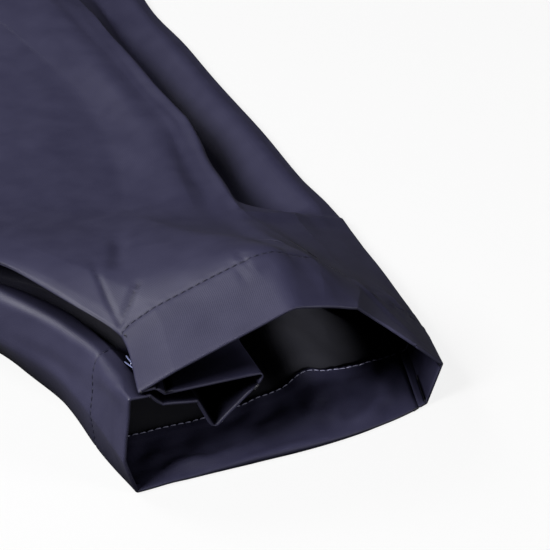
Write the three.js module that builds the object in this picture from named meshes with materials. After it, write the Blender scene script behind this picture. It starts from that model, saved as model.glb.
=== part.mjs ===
// A child's pull-on rain trousers, laid on a table with the legs in a V. The leg on the +X side is propped
// open at its hem, with the inseam pushed in as a tuck; the other leg lies flatter. Millimetres, +Z up,
// waist towards +Y, origin on the table under the middle of the garment.
import * as THREE from "three";

// Driving dimensions.
const WALL = 1.4; // cloth wall of the panels
const FACING = 1; // cloth wall of the turned-in hem and waist allowances
const SEAM = 0.3; // gap between pieces that are sewn together
const HEM_DEPTH = 34; // height of the turned-up hem
const CASING_DEPTH = 36; // height of the elastic casing at the waist
const SPREAD = (9 * Math.PI) / 180; // each leg's turn away from the centre line
const TOE_X = 158; // a leg's inner hem corner, from the centre line
const CENTRE_LINE_X = 16.3; // the centre seam's place, with the origin under the middle of the box
const HEM_LINE_Y = -369.1; // the inner hem corners' place
const LEG_LENGTH = 505; // hem to crotch
const SIDE_LENGTH = 740; // hem to waist edge, along the outseam
const SEAM_WRAP = 5; // how far the front panel reaches round the folded edges
const CLOTH = new THREE.MeshStandardMaterial({ color: 0x34344a, roughness: 0.5, metalness: 0 });
const INNER_CLOTH = new THREE.MeshStandardMaterial({ color: 0x2c2c40, roughness: 0.6, metalness: 0 });

// Each leg is described by the folds that its section crosses, in the leg's own frame: x across the leg from
// the inner hem corner, along up the leg from the hem edge, z above the table. Points are on the outside.
// Front panel: outer edge fold, shelf, valley, ridge, crown and the lip over the tuck.
const FRONT_COLUMNS = ["along", "edgeX", "edgeZ", "shelfX", "shelfZ", "valleyX", "valleyZ", "ridgeX",
  "ridgeZ", "crownX", "crownZ", "lipX", "lipZ"];
const PROPPED_FRONT = [
  [0, 132, 19, 119, 32.5, 106, 46, 92.5, 59.5, 66, 68, -5, 46.5],
  [34, 140, 13.5, 129, 24.5, 118, 35.5, 107, 46.5, 72, 70.5, 4, 46.5],
  [60, 143.5, 10.5, 131, 20, 118, 30.5, 103.5, 40.5, 70, 60, -8, 51],
  [90, 147.5, 7, 135, 15, 120, 24, 99.5, 34, 58, 48, -20, 50],
  [126, 151, 4.5, 140, 9.5, 122, 17, 97, 27.5, 52, 35, -35, 44],
  [138, 151, 4, 136, 12, 109, 8.5, 98.5, 26.5, 52, 31, -39, 41],
  [165, 149.5, 4, 135, 13, 111, 7.5, 102, 23.5, 60, 25, -49, 34],
  [210, 149.5, 4, 135, 12, 114, 7, 107, 20, 70, 20, -58, 26],
  [260, 149, 4, 134, 11, 117, 7, 110, 17, 74, 17, -64, 21],
  [320, 149, 4, 134, 10, 120, 8, 112, 14, 66, 18, -67, 18],
  [400, 150, 4, 135, 10, 122, 12, 106, 16, 46, 22, -69, 15],
  [470, 151, 4, 136, 11, 121, 16, 98, 20, 36, 25, -71.5, 12],
];
const FLATTER_FRONT = [
  [0, 168, 8, 150, 16, 122, 25, 92, 31, 40, 30, -38, 17],
  [34, 167, 7, 149, 14, 122, 22, 94, 29, 40, 31, -41, 17],
  [80, 162, 5, 146, 12, 124, 17, 100, 24, 38, 28, -46, 18],
  [140, 156, 4, 142, 12, 122, 11, 102, 20, 36, 26, -53, 18],
  [200, 152, 4, 138, 13, 118, 8, 104, 20, 36, 24, -59, 17],
  [260, 150, 4, 136, 12, 116, 7, 101, 21, 40, 21, -63, 16],
  [330, 149, 4, 135, 11, 114, 10, 94, 20, 38, 20, -67, 15],
  [400, 150, 4, 135, 10, 120, 14, 92, 19, 34, 22, -69, 14],
  [470, 151, 4, 136, 11, 121, 16, 96, 20, 34, 24, -71, 12],
];
// Tuck at the inseam: its innermost tip, its dip and the brim where the inner side wall starts.
const TUCK_COLUMNS = ["along", "tipX", "tipZ", "dipX", "dipZ", "brimX", "brimZ"];
const PROPPED_TUCK = [
  [0, 54, 40.3, 32.6, 20.7, -1.5, 48],
  [34, 56, 37, 36, 23, -1.5, 41.5],
  [60, 42, 39, 24, 28, -10, 43],
  [90, 22, 40, 6, 31, -24, 40],
  [126, -6, 36, -19, 28.5, -40, 33.5],
  [138, -14, 34, -26, 26.5, -44, 30.5],
  [165, -32, 28, -40, 22, -54, 24],
  [210, -53, 20, -57, 15, -63, 14],
  [260, -67, 15, -68.5, 12, -69.5, 8.5],
  [320, -70, 12.5, -71, 9.5, -71.5, 6.5],
  [400, -72, 10.5, -73, 8, -73, 5.5],
  [470, -74, 8.5, -75, 6.5, -75, 4.5],
];
const FLATTER_TUCK = [
  [0, -47, 12.5, -49.5, 9.5, -50.5, 6.5],
  [34, -49, 12.5, -51.5, 9.5, -52.5, 6.5],
  [80, -53, 13, -55.5, 10, -56.5, 7],
  [140, -59.5, 13, -62, 10, -62.5, 7],
  [200, -65, 12, -67, 9, -67.5, 6],
  [260, -68.5, 12, -70.5, 9, -71, 6],
  [330, -71, 11, -73, 8.5, -73, 5.5],
  [400, -72.5, 10.5, -73.5, 8, -73.5, 5.5],
  [470, -74, 8.5, -75, 6.5, -75, 4.5],
];
// Back panel: bend of the inner side wall, its foot, two soft rises of the under side, and the heel.
const BACK_COLUMNS = ["along", "bendX", "bendZ", "footX", "riseX", "riseZ", "swellX", "swellZ", "heelX"];
const PROPPED_BACK = [
  [0, -4.5, 17.7, 0, 42, 0, 86, 0, 125.5],
  [34, -6, 18, -5, 40, 0, 86, 2.5, 134.5],
  [60, -11, 20, -6, 40, 1, 88, 3.5, 139.5],
  [90, -25, 19, -14, 40, 1.5, 88, 3, 144.5],
  [126, -40, 15.5, -29, 36, 1, 88, 1.5, 148.5],
  [138, -45, 14, -33, 34, 1, 88, 1, 148.5],
  [165, -55, 11, -45, 30, 0, 88, 0, 147.5],
  [210, -64.5, 6, -58, 28, 0, 88, 0, 147.5],
  [260, -69.5, 4, -66, 28, 0, 88, 0, 146.5],
  [320, -71.5, 3.2, -69, 28, 0, 88, 0, 146.5],
  [400, -73, 2.8, -70.5, 28, 0, 88, 0, 147.5],
  [470, -75, 2.4, -72.5, 28, 0, 88, 0, 148.5],
];
const FLATTER_BACK = [
  [0, -50, 3.5, -47, 30, 0, 95, 0, 165],
  [34, -52, 3.5, -49, 30, 1, 94, 1.5, 164],
  [80, -56, 3.5, -53, 28, 1, 92, 1, 159],
  [140, -62, 3.5, -59, 26, 0, 90, 0, 153.5],
  [200, -67, 3, -64, 24, 0, 88, 0, 149.5],
  [260, -70.5, 3, -67.5, 24, 0, 88, 0, 147.5],
  [330, -72.5, 3, -69.5, 24, 0, 88, 0, 146.5],
  [400, -73, 2.8, -71, 24, 0, 88, 0, 147.5],
  [470, -74.5, 2.4, -72, 24, 0, 88, 0, 148.5],
];
// From the crotch to the waist both halves share these sections. half is the half width, and each fold's
// place is a share of it from the outseam to the centre seam; z as above.
const SEAT_COLUMNS = ["along", "half", "shelf", "shelfZ", "valley", "valleyZ", "ridge", "ridgeZ",
  "crown", "crownZ", "centreZ"];
const SEAT = [
  [505, 229, 0.07, 11, 0.15, 16, 0.25, 20, 0.55, 25, 9],
  [560, 226, 0.07, 12, 0.16, 18, 0.28, 23, 0.55, 28, 20],
  [620, 210, 0.08, 12, 0.18, 19, 0.32, 26, 0.6, 30, 25],
  [675, 170, 0.09, 12, 0.2, 20, 0.36, 27, 0.65, 31, 28],
  [704, 144, 0.1, 12, 0.22, 20, 0.4, 27, 0.7, 31, 30],
  [740, 138, 0.1, 13, 0.22, 21, 0.4, 28, 0.7, 32, 32],
];
// Bend radius at each kind of fold, and how many straight stretches each bend has.
const LIP = { radius: 1.9, steps: 3 };
const FOLD = { radius: 3.4, steps: 3 };
const RIDGE = { radius: 2.4, steps: 2 };
const BRIM = { radius: 3.4, steps: 2 };
const SOFT = { radius: 8, steps: 1 };

// The front panel's long slope bulges a little between crown and lip, and the tuck's upper layer bends once.
const SLOPE_SHARE = 0.72;
const SLOPE_BULGE = 1.5;
const LAYER_SHARE = 0.36;
// The hem's under edge bows forward of the section, and less so up the leg.
const HEM_BOW = 5.2;
const HEM_BOW_REACH = 160;
const BOW_SKEW = 1.6;
const BOW_TOP = 8;
// At the seat: the folded outseam's height and its foot, the steps in from the centre seam, and the shares
// of the half width where the belly of the front and the rises of the back lie.
const EDGE_HEIGHT = 4;
const FOOT_INSET = 2.5;
const CENTRE_STEP = 5;
const BELLY = 0.84;
const BACK_RISE = 0.65;
const BACK_SWELL = 0.35;
// Where the section lines start and stop turning square to the centre line.
const TURN_START = 330;
const TURN_END = LEG_LENGTH + 40;
// Half angle, in radians, above which a corner is as good as straight.
const STRAIGHT = 1.55;

const named = (columns, row) => Object.fromEntries(columns.map((name, k) => [name, row[k]]));
const rowsOf = (columns, table) => table.map((row) => named(columns, row));

// Where a leg-frame point lies in the garment's frame. Above the crotch the section lines turn until they
// are square to the centre line; side is 1 for the propped leg and -1 for the other.
function onTable(x, along, outerX, turned, side) {
  const turn = -SPREAD * turned;
  const px = outerX + (x - outerX) * Math.cos(turn);
  const py = along + (x - outerX) * Math.sin(turn);
  const wx = TOE_X + px * Math.cos(SPREAD) - py * Math.sin(SPREAD);
  const wy = px * Math.sin(SPREAD) + py * Math.cos(SPREAD) + HEM_LINE_Y;
  return [CENTRE_LINE_X + side * wx, wy];
}

// The outseam's leg-frame x that gives a wanted distance from the centre line.
function outerXFor(half, along) {
  return (half - TOE_X + along * Math.sin(SPREAD)) / Math.cos(SPREAD);
}

// How far the section line has turned at a height up the leg.
function turnedAt(along) {
  return THREE.MathUtils.smoothstep(along, TURN_START, TURN_END);
}

// A section as corners in (x, z), from the outseam over the top to the inseam, and back underneath.
function legSection(front, tuck, back) {
  const seamX = back.heelX - SEAM_WRAP;
  const tip = new THREE.Vector2(tuck.tipX, tuck.tipZ);
  const dip = new THREE.Vector2(tuck.dipX, tuck.dipZ);
  const seam = tip.clone().lerp(dip, Math.min(0.45, SEAM_WRAP / tip.distanceTo(dip)));
  const step = dip.clone().sub(tip).setLength(SEAM);
  const lip = new THREE.Vector2(front.lipX, front.lipZ);
  const slope = new THREE.Vector2(front.crownX, front.crownZ).lerp(lip, SLOPE_SHARE);
  const layer = lip.clone().lerp(tip, LAYER_SHARE);
  return {
    along: front.along,
    outerX: front.edgeX,
    heelX: back.heelX,
    footX: back.footX,
    front: [
      [seamX + SEAM, 0],
      [back.heelX, 0, FOLD],
      [front.edgeX, front.edgeZ, FOLD],
      [front.shelfX, front.shelfZ, SOFT],
      [front.valleyX, front.valleyZ, SOFT],
      [front.ridgeX, front.ridgeZ, RIDGE],
      [front.crownX, front.crownZ, SOFT],
      [slope.x, slope.y + SLOPE_BULGE, SOFT],
      [front.lipX, front.lipZ, LIP],
      [layer.x, layer.y, SOFT],
      [tip.x, tip.y, LIP],
      [seam.x, seam.y],
    ],
    back: [
      [seam.x + step.x, seam.y + step.y],
      [dip.x, dip.y, RIDGE],
      [tuck.brimX, tuck.brimZ, BRIM],
      [back.bendX, back.bendZ, SOFT],
      [back.footX, 0, FOLD],
      [back.riseX, back.riseZ, SOFT],
      [back.swellX, back.swellZ, SOFT],
      [seamX, 0],
    ],
  };
}

// The same corners above the crotch, where front and back each end at the centre seam.
function seatSection(row) {
  const outerX = outerXFor(row.half, row.along);
  const centreX = outerX - row.half + SEAM / 2;
  const at = (share) => outerX - share * row.half;
  const heelX = outerX - FOOT_INSET;
  const seamX = heelX - SEAM_WRAP;
  return {
    along: row.along,
    outerX,
    heelX,
    footX: centreX,
    front: [
      [seamX + SEAM, 0],
      [heelX, 0, FOLD],
      [outerX, EDGE_HEIGHT, FOLD],
      [at(row.shelf), row.shelfZ, SOFT],
      [at(row.valley), row.valleyZ, SOFT],
      [at(row.ridge), row.ridgeZ, RIDGE],
      [at(row.crown), row.crownZ, SOFT],
      [at(BELLY), 0.5 * (row.crownZ + row.centreZ) + SLOPE_BULGE, SOFT],
      [centreX + 3 * CENTRE_STEP, row.centreZ + 0.8, LIP],
      [centreX + 2 * CENTRE_STEP, row.centreZ + 0.4, SOFT],
      [centreX + CENTRE_STEP, row.centreZ, LIP],
      [centreX, row.centreZ],
    ],
    back: [
      [centreX, 0],
      [centreX + CENTRE_STEP, 0, RIDGE],
      [centreX + 2 * CENTRE_STEP, 0, BRIM],
      [centreX + 3 * CENTRE_STEP, 0, SOFT],
      [centreX + 4 * CENTRE_STEP, 0, FOLD],
      [at(BACK_RISE), 0, SOFT],
      [at(BACK_SWELL), 0, SOFT],
      [seamX, 0],
    ],
  };
}

// Rounds each corner that names a bend, always into the same number of points.
function bent(corners) {
  const points = [new THREE.Vector2(corners[0][0], corners[0][1])];
  for (let k = 1; k < corners.length - 1; k += 1) {
    const here = new THREE.Vector2(corners[k][0], corners[k][1]);
    const before = new THREE.Vector2(corners[k - 1][0], corners[k - 1][1]).sub(here);
    const after = new THREE.Vector2(corners[k + 1][0], corners[k + 1][1]).sub(here);
    const bend = corners[k][2];
    const most = 0.45 * Math.min(before.length(), after.length());
    before.normalize();
    after.normalize();
    const half = Math.acos(THREE.MathUtils.clamp(before.dot(after), -1, 1)) / 2;
    const reach = THREE.MathUtils.clamp(bend.radius / Math.tan(half), Math.min(0.8, most), most);
    const start = here.clone().addScaledVector(before, reach);
    const end = here.clone().addScaledVector(after, reach);
    const radius = reach * Math.tan(half);
    const middle = before.clone().add(after);
    if (half > STRAIGHT) {
      for (let s = 0; s <= bend.steps; s += 1) points.push(start.clone().lerp(end, s / bend.steps));
      continue;
    }
    const centre = here.clone().add(middle.setLength(radius / Math.sin(half)));
    const from = start.clone().sub(centre);
    const sweep = Math.PI - 2 * half;
    const way = Math.sign(from.cross(end.clone().sub(centre)));
    for (let s = 0; s <= bend.steps; s += 1) {
      points.push(from.clone().rotateAround(new THREE.Vector2(), (way * sweep * s) / bend.steps).add(centre));
    }
  }
  const last = corners[corners.length - 1];
  points.push(new THREE.Vector2(last[0], last[1]));
  return points;
}

// Moves a section's line into the garment by a distance, square to its stretches.
function inward(points, distance) {
  return points.map((point, k) => {
    const a = points[Math.max(k - 1, 0)];
    const b = points[Math.min(k + 1, points.length - 1)];
    const first = point.clone().sub(a);
    const second = b.clone().sub(point);
    if (first.length() < 1e-9) first.copy(second);
    if (second.length() < 1e-9) second.copy(first);
    first.normalize();
    second.normalize();
    const along = first.clone().add(second).normalize();
    const stretch = 1 / Math.max(0.6, along.dot(first));
    return point.clone().add(new THREE.Vector2(-along.y, along.x).multiplyScalar(distance * stretch));
  });
}

// A closed wall between two grids of points: outer and inner, rows of equal length.
function wall(outer, inner, side) {
  const rows = outer.length;
  const count = outer[0].length;
  const positions = [...outer.flat(), ...inner.flat()].flat();
  const at = (layer, j, i) => layer * rows * count + j * count + i;
  const index = [];
  const quad = (a, b, c, d) => {
    if (side > 0) index.push(a, c, b, a, d, c);
    else index.push(a, b, c, a, c, d);
  };
  for (let j = 0; j < rows - 1; j += 1) {
    for (let i = 0; i < count - 1; i += 1) {
      quad(at(0, j, i), at(0, j, i + 1), at(0, j + 1, i + 1), at(0, j + 1, i));
      quad(at(1, j, i), at(1, j + 1, i), at(1, j + 1, i + 1), at(1, j, i + 1));
    }
    quad(at(0, j, 0), at(0, j + 1, 0), at(1, j + 1, 0), at(1, j, 0));
    quad(at(0, j, count - 1), at(1, j, count - 1), at(1, j + 1, count - 1), at(0, j + 1, count - 1));
  }
  for (let i = 0; i < count - 1; i += 1) {
    quad(at(0, 0, i), at(1, 0, i), at(1, 0, i + 1), at(0, 0, i + 1));
    quad(at(0, rows - 1, i), at(0, rows - 1, i + 1), at(1, rows - 1, i + 1), at(1, rows - 1, i));
  }
  const geometry = new THREE.BufferGeometry();
  geometry.setAttribute("position", new THREE.Float32BufferAttribute(positions, 3));
  geometry.setIndex(index);
  geometry.computeVertexNormals();
  return geometry;
}

// Sections between two heights, with the ones at both ends worked out from their neighbours.
function between(sections, low, high) {
  const atHeight = (along) => {
    const k = Math.max(1, sections.findIndex((s) => s.along >= along - 1e-6));
    const a = sections[k - 1];
    const b = sections[k];
    const t = (along - a.along) / (b.along - a.along);
    const mix = (p, q) => p.map((c, n) => c.map((v, m) => (m < 2 ? v + t * (q[n][m] - v) : v)));
    return {
      along,
      outerX: a.outerX + t * (b.outerX - a.outerX),
      heelX: a.heelX + t * (b.heelX - a.heelX),
      footX: a.footX + t * (b.footX - a.footX),
      front: mix(a.front, b.front),
      back: mix(a.back, b.back),
    };
  };
  const inside = sections.filter((s) => s.along > low + 1 && s.along < high - 1);
  return [atHeight(low), ...inside, atHeight(high)];
}

// How far a point on the under side lies forward of its section.
function bow(x, z, section) {
  const across = THREE.MathUtils.clamp((x - section.footX) / (section.heelX - section.footX), 0, 1);
  const up = Math.max(0, 1 - section.along / HEM_BOW_REACH);
  return z < BOW_TOP ? HEM_BOW * Math.sin(Math.PI * across ** BOW_SKEW) * up : 0;
}

// A cloth wall on one panel's sections: depth is how far its outside lies under the panel's outside.
function cloth(name, sections, panel, side, depth, thickness, first, last, material) {
  const grid = (distance) => sections.map((section) => {
    const all = bent(section[panel]);
    const points = inward(all, distance).slice(first, last ?? all.length);
    const turned = turnedAt(section.along);
    return points.map((p) => {
      const along = section.along - bow(p.x, p.y, section);
      return [...onTable(p.x, along, section.outerX, turned, side), p.y];
    });
  });
  const mesh = new THREE.Mesh(wall(grid(depth), grid(depth + thickness), side), material);
  mesh.name = name;
  return mesh;
}

function halfGarment(frontTable, tuckTable, backTable) {
  const front = rowsOf(FRONT_COLUMNS, frontTable);
  const tuck = rowsOf(TUCK_COLUMNS, tuckTable);
  const back = rowsOf(BACK_COLUMNS, backTable);
  const leg = front.map((row, k) => legSection(row, tuck[k], back[k]));
  const seat = rowsOf(SEAT_COLUMNS, SEAT).map(seatSection);
  return [...leg, ...seat];
}

// Where each inner layer starts and stops among its panel's bent points.
const AFTER_EDGE_FOLD = 9;
const BEFORE_LIP = 20;
const AFTER_LIP = 24;
const AFTER_SEAM_FOLD = 3;
const AFTER_FOOT_FOLD = 15;

const trousers = new THREE.Group();
const under = WALL + SEAM;
const legs = [
  ["right", 1, PROPPED_FRONT, PROPPED_TUCK, PROPPED_BACK],
  ["left", -1, FLATTER_FRONT, FLATTER_TUCK, FLATTER_BACK],
];
for (const [name, side, frontTable, tuckTable, backTable] of legs) {
  const sections = halfGarment(frontTable, tuckTable, backTable);
  const hem = between(sections, 0, HEM_DEPTH);
  const waist = between(sections, SIDE_LENGTH - CASING_DEPTH, SIDE_LENGTH);
  const panel = (half) => cloth(`${name}_${half}_panel`, sections, half, side, 0, WALL, 0, undefined, CLOTH);
  const facing = (piece, rows, half, first, last) => (
    cloth(`${name}_${piece}`, rows, half, side, under, FACING, first, last, INNER_CLOTH)
  );
  trousers.add(panel("front"));
  trousers.add(panel("back"));
  trousers.add(facing("hem_front", hem, "front", side > 0 ? AFTER_SEAM_FOLD : AFTER_EDGE_FOLD, BEFORE_LIP));
  if (side > 0) trousers.add(facing("hem_tuck", hem, "front", AFTER_LIP, undefined));
  trousers.add(facing("hem_back", hem, "back", side > 0 ? 0 : AFTER_FOOT_FOLD, undefined));
  trousers.add(facing("waist_front", waist, "front", AFTER_EDGE_FOLD, undefined));
  trousers.add(facing("waist_back", waist, "back", 0, undefined));
}

export default trousers;
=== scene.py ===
import math

import bpy
import numpy as np
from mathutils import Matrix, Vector


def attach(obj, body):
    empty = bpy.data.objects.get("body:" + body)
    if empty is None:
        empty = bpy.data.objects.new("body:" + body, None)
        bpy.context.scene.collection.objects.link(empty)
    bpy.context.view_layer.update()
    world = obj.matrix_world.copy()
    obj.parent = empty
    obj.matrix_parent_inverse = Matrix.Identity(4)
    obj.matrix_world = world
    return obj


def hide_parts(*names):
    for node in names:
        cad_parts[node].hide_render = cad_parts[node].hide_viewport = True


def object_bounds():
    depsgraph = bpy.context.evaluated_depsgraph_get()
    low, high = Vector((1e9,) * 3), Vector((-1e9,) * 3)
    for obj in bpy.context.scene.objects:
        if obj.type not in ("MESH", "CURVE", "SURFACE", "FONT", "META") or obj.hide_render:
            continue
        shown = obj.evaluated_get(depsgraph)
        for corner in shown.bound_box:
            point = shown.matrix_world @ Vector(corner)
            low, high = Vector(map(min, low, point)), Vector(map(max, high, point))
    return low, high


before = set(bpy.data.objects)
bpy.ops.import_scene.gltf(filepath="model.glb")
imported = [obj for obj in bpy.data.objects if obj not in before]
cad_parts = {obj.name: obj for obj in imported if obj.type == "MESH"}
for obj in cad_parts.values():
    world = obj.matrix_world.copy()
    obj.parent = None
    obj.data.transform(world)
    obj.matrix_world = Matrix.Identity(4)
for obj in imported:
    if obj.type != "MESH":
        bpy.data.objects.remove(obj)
cad_low, cad_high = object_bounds()


# ---------------------------------------------------------------------------------------------------------
# Right front panel: one piece of thin navy plain-weave polyamide, coated on its reverse, cut with its hem and
# casing allowances. It lies over the propped leg from the outseam fold to the tuck at the inseam. It is made
# as a sheet on the leg's fold lines, its hem turned up inside, with every crease moved out or in as listed.

MM = 0.001
SPREAD = math.radians(9)  # each leg's turn away from the centre line
TOE_X = 158  # a leg's inner hem corner, from the centre line
CENTRE_LINE_X = 16.3  # the centre line's place in the frame
HEM_BOW = 5.2  # the hem's under edge bows forward of its corners
hem_line_y = cad_low.y / MM + 7.9
TURN_START = 330  # a section's line starts to turn square to the centre line here, and has turned at the next
TURN_END = 545
CLOTH = 0.3  # thickness of the coated cloth with its weave
LAYER = 1.4  # depth of the turned-in layer under the outside
HEM = 34
CASING = 36
CASING_DEPTH = 2.3  # depth of the casing's inner layer, with the elastic between
WAIST = 740

# Fold lines of the propped leg as (across, height) at these distances up from the hem, in millimetres.
PROPPED_UP = (0, 34, 60, 90, 126, 138, 165, 210, 260, 320, 400, 470)
PROPPED = {
    "heel": ((125.5, 0), (134.5, 0), (139.5, 0), (144.5, 0), (148.5, 0), (148.5, 0), (147.5, 0), (147.5, 0),
             (146.5, 0), (146.5, 0), (147.5, 0), (148.5, 0)),
    "edge": ((132, 19), (140, 13.5), (143.5, 10.5), (147.5, 7), (151, 4.5), (151, 4), (149.5, 4), (149.5, 4),
             (149, 4), (149, 4), (150, 4), (151, 4)),
    "shelf": ((119, 32.5), (129, 24.5), (131, 20), (135, 15), (140, 9.5), (141, 9.3), (141, 9), (141, 8.5),
              (140, 8.3), (140, 8.3), (141, 8.5), (141, 9.5)),
    "valley": ((106, 46), (118, 35.5), (118, 30.5), (120, 24), (122, 17), (111, 4.5), (112, 3), (114, 2.5),
               (117, 3), (120, 5), (122, 11), (121, 16)),
    "ridge": ((92.5, 59.5), (107, 46.5), (103.5, 40.5), (99.5, 34), (97, 28), (98, 27.5), (101, 25),
              (108.5, 22), (107.5, 19), (109, 16), (105, 17), (98, 20)),
    "crown": ((66, 68), (72, 70.5), (70, 60), (58, 48), (52, 35), (52, 31), (60, 25), (70, 20), (74, 17),
              (66, 18), (46, 22), (36, 25)),
    "lip": ((-1.3, 47.9), (6.9, 46), (-3.6, 49), (-16, 49.5), (-34, 44), (-39, 41), (-49, 34), (-58, 26),
            (-64, 21), (-67, 18), (-69, 15), (-71.5, 12)),
    "tip": ((54, 40.3), (56, 37), (42, 39), (22, 40), (-6, 36), (-14, 34), (-32, 28), (-53, 20), (-67, 15),
            (-70, 12.5), (-72, 10.5), (-74, 8.5)),
    "dip": ((32.6, 20.7), (36, 23), (24, 28), (6, 31), (-19, 28.5), (-26, 26.5), (-40, 22), (-57, 15),
            (-68.5, 12), (-71, 9.5), (-73, 8), (-75, 6.5)),
    "brim": ((-1.5, 48), (-0.6, 42.4), (-7, 41.5), (-21.5, 41), (-40, 33.5), (-44, 30.5), (-54, 24),
             (-63, 14), (-69.5, 8.5), (-71.5, 6.5), (-73, 5.5), (-75, 4.5)),
    "bend": ((-4.5, 17.7), (-6, 18), (-11, 20), (-25, 19), (-40, 15.5), (-45, 14), (-55, 11), (-64.5, 6),
             (-69.5, 4), (-71.5, 3.2), (-73, 2.8), (-75, 2.4)),
    "foot": ((0, 0), (-5, 0), (-6, 0), (-14, 0), (-29, 0), (-33, 0), (-45, 0), (-58, 0), (-66, 0), (-69, 0),
             (-70.5, 0), (-72.5, 0)),
    "rise": ((42, 0), (40, 0), (40, 1), (40, 1.5), (36, 1), (34, 1), (30, 0), (28, 0), (28, 0), (28, 0),
             (28, 0), (28, 0)),
    "swell": ((86, 0), (86, 2.5), (88, 3.5), (88, 3), (88, 1.5), (88, 1), (88, 0), (88, 0), (88, 0), (88, 0),
              (88, 0), (88, 0)),
}
# Small steps of the tuck's two layers: share of the way between two folds, and lift above the straight line.
PROPPED_STEPS = {
    "shoulder": ("crown", "ridge", ((0.5, 0.6), (0.5, 0.8), (0.5, 0), (0.5, 0), (0.6, 0.3), (0.62, 1.4),
                                    (0.64, 3), (0.66, 4.2), (0.66, 4.2), (0.66, 3.4), (0.66, 2),
                                    (0.66, 0.5))),
    "slope": ("crown", "lip", ((0.72, 0.8), (0.72, 1.2), (0.72, 1.5)) + ((0.72, 1.5),) * 9),
    "notch_top": ("lip", "tip", ((0.2, 1.4), (0.2, 0.6), (0.22, 0)) + ((0.22, 0),) * 9),
    "notch": ("lip", "tip", ((0.26, -2.2), (0.26, -0.8), (0.36, 0)) + ((0.36, 0),) * 9),
    "ledge": ("dip", "brim", ((0.17, 12), (0.2, 3), (0.3, -11), (0.22, -10), (0.22, -6), (0.25, -3))
              + ((0.3, 0),) * 6),
    "step": ("dip", "brim", ((0.59, 3.8), (0.58, 0.5), (0.5, -11), (0.44, -10), (0.45, -6), (0.5, -3))
             + ((0.55, 0),) * 6),
    "flap": ("dip", "brim", ((0.72, 6.2), (0.8, 2.6), (0.66, 1.6), (0.6, 0.6), (0.6, 1), (0.7, 0))
             + ((0.75, 0),) * 6),
}
# Above the crotch both halves share these sections: the half width, and each fold as a share of it.
SEAT_UP = (505, 560, 620, 675, 704, 740)
SEAT_HALF = (229, 226, 210, 170, 144, 138)
SEAT_CENTRE_Z = (9, 20, 25, 28, 30, 32)
SEAT = {
    "shelf": ((0.07, 11), (0.07, 12), (0.08, 12), (0.09, 12), (0.1, 12), (0.1, 13)),
    "valley": ((0.15, 16), (0.16, 18), (0.18, 19), (0.2, 20), (0.22, 20), (0.22, 21)),
    "ridge": ((0.25, 20), (0.28, 23), (0.32, 26), (0.36, 27), (0.4, 27), (0.4, 28)),
    "crown": ((0.55, 25), (0.55, 28), (0.6, 30), (0.65, 31), (0.7, 31), (0.7, 32)),
}
# Folds that are only steps in from the centre seam there, in order, with the height of the front ones.
SEAT_FRONT_STEPS = (("lip", 15, 0.8), ("notch_top", 11, 0.5), ("notch", 8, 0.3), ("tip", 5, 0))
SEAT_BACK_STEPS = (("dip", 5), ("ledge", 8), ("step", 11), ("flap", 13), ("brim", 16), ("bend", 20),
                   ("foot", 24))
# Bend radius of each fold in the solids, here at the hem, and here from 60 mm up.
BENDS = {
    "heel": (3.4, 1.0, 2.6), "edge": (3.4, 0.9, 2.2), "shelf": (8, 6, 8), "valley": (8, 6, 4.5),
    "ridge": (2.4, 2.0, 2.2), "shoulder": (8, 8, 12), "crown": (8, 12, 22), "slope": (8, 10, 20),
    "lip": (1.9, 0.8, 0.9), "notch_top": (2, 0.8, 3), "notch": (2, 0.8, 3), "tip": (1.9, 0.8, 1.6),
    "dip": (2.4, 0.9, 2.2), "ledge": (2, 1.2, 3), "step": (2, 1.2, 3), "flap": (2, 0.9, 3),
    "brim": (3.4, 1.1, 3), "bend": (8, 6, 8), "foot": (3.4, 1.2, 2.8), "rise": (8, 8, 8), "swell": (8, 8, 8),
}
SHARP = 5  # bends with a smaller radius than this are sharp folds
BRIM_ROLL = 4  # radius of the side wall's top where it is a soft roll
FRONT_PATH = ("seam_out", "heel", "edge", "shelf", "valley", "ridge", "shoulder", "crown", "slope", "lip",
              "notch_top", "notch", "tip", "seam_in")
BACK_PATH = ("seam_in", "dip", "ledge", "step", "flap", "brim", "bend", "foot", "rise", "swell", "seam_out")
SEAM_WRAP = 5  # how far the front panel reaches round the folded edges
SEAM_GAP = 0.12
PRESSED_ALLOWANCE = 2.6  # the front's seam allowances reach on under the back
TURNED_ALLOWANCE = 1.2  # the back's turn in under it
ALLOWANCE_COLUMNS = 2
RAW_EDGE = 1.9  # the turned-in layers end this far past their stitches
REST_HEIGHT = 0.25  # the lowest that the cloth's outside lies
FOLD_FADE = 3  # columns over which a fold's own relief fades
UNEVEN_WAVES = 26
CRUMPLE_LAYERS = 3
PUCKER_SPACING = 6.5
PUCKER_UP = 7  # the hem's puckers reach this far above its stitches, and then this far below
PUCKER_DOWN = 5


def smooth_step(value, low, high):
    share = np.clip((value - low) / (high - low), 0, 1)
    return share * share * (3 - 2 * share)


def window(value, rise_from, rise_to, fall_from, fall_to):
    """1 over a stretch, with a soft rise to it and a soft fall from it, and 0 elsewhere."""
    return smooth_step(value, rise_from, rise_to) * (1 - smooth_step(value, fall_from, fall_to))


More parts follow.
